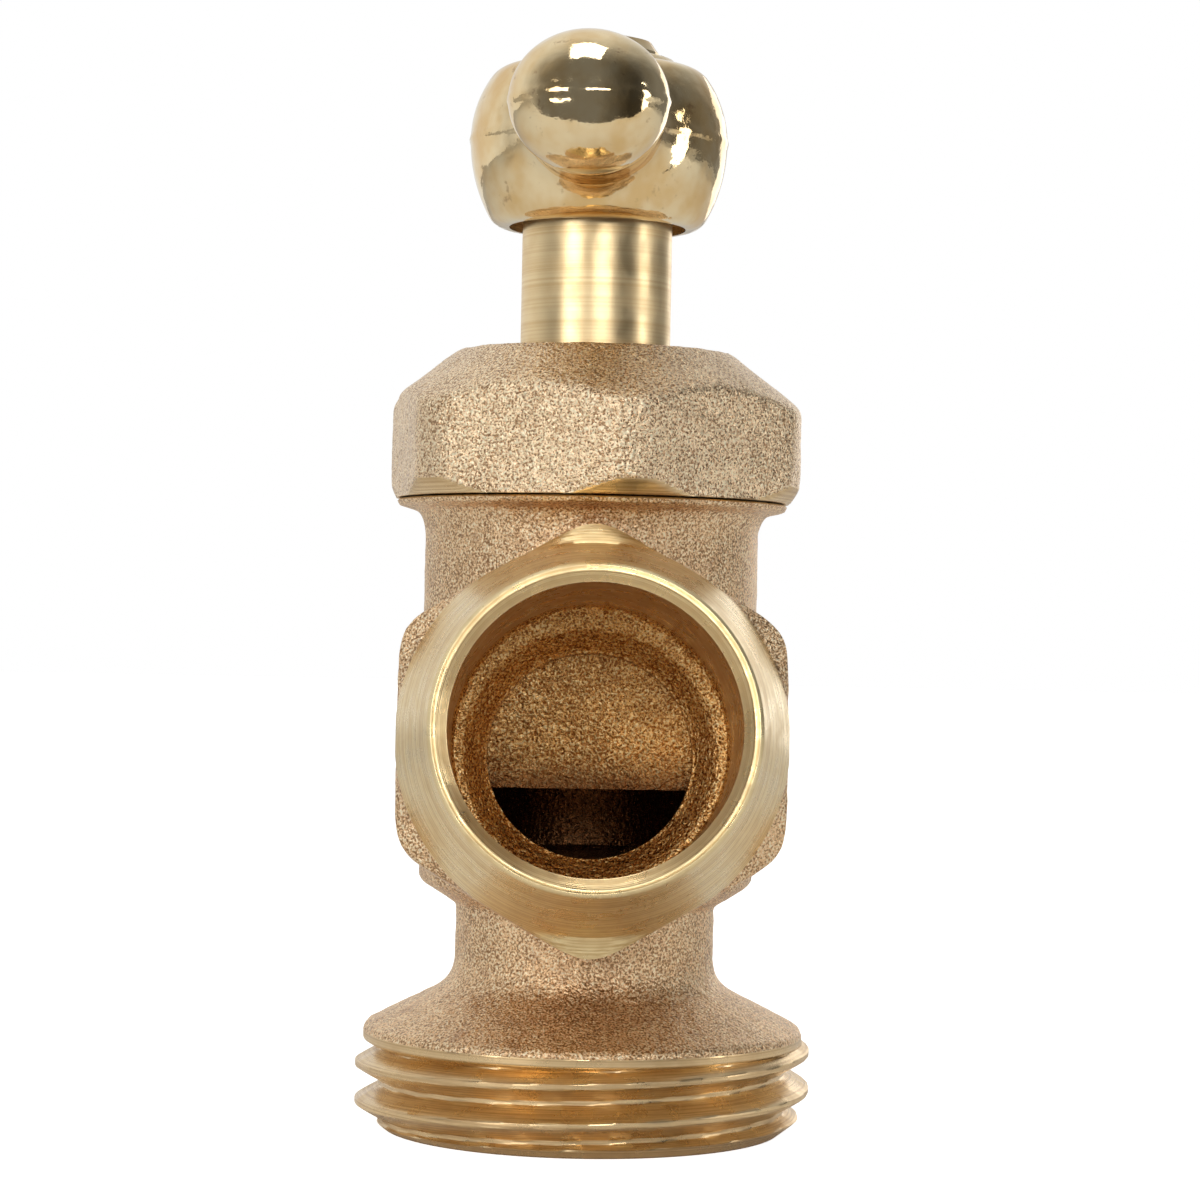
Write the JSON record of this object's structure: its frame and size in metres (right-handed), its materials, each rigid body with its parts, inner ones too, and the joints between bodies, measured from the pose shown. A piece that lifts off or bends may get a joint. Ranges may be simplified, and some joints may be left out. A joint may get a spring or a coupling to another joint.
{
  "type": "hose bibb",
  "caption": "Cast brass garden tap with a solder socket, a tee handle on a packed spindle and a male hose thread underneath.",
  "frame": {"origin": "centre of the pipe socket's bore where it begins, just behind the bevelled lip of its mouth", "axes": "+Z along the spindle from the spout up to the handle, -Y out of the socket towards the pipe, +X to the right for someone looking into the socket"},
  "size_m": [0.027, 0.0398, 0.0647],
  "materials": {
    "cast_brass": "sand-cast and left as it came, with machined lip and thread",
    "nut_brass": "sand-cast flats, turned lower face",
    "turned_brass": "turned, satin",
    "plated": "brass-plated and polished",
    "rubber": "moulded",
    "packing": "pressed graphite packing"
  },
  "bodies": {
    "valve_body": {"body": "cast_brass", "packing_nut": "nut_brass", "packing_gland": "turned_brass", "packing_ring": "packing", "packing_washer": "turned_brass"},
    "jumper": {"seat_washer": "rubber"},
    "stem": {"spindle": "turned_brass", "washer_screw": "turned_brass", "handle": "plated", "handle_screw": "plated"}
  },
  "joints": [
    {"name": "stem_lift", "type": "slide", "parent": "valve_body", "child": "jumper", "axis": [0, 0, 1], "range_m": [0, 0.0045]},
    {"name": "stem_turn", "type": "hinge", "parent": "jumper", "child": "stem", "pos_m": [0, 0.01944, 0.00686], "axis": [0, 0, 1], "range_deg": [0, 720]}
  ],
  "couplings": [
    {"joint": "stem_turn", "follows": "stem_lift", "rad_per_m": 2792.5}
  ]
}
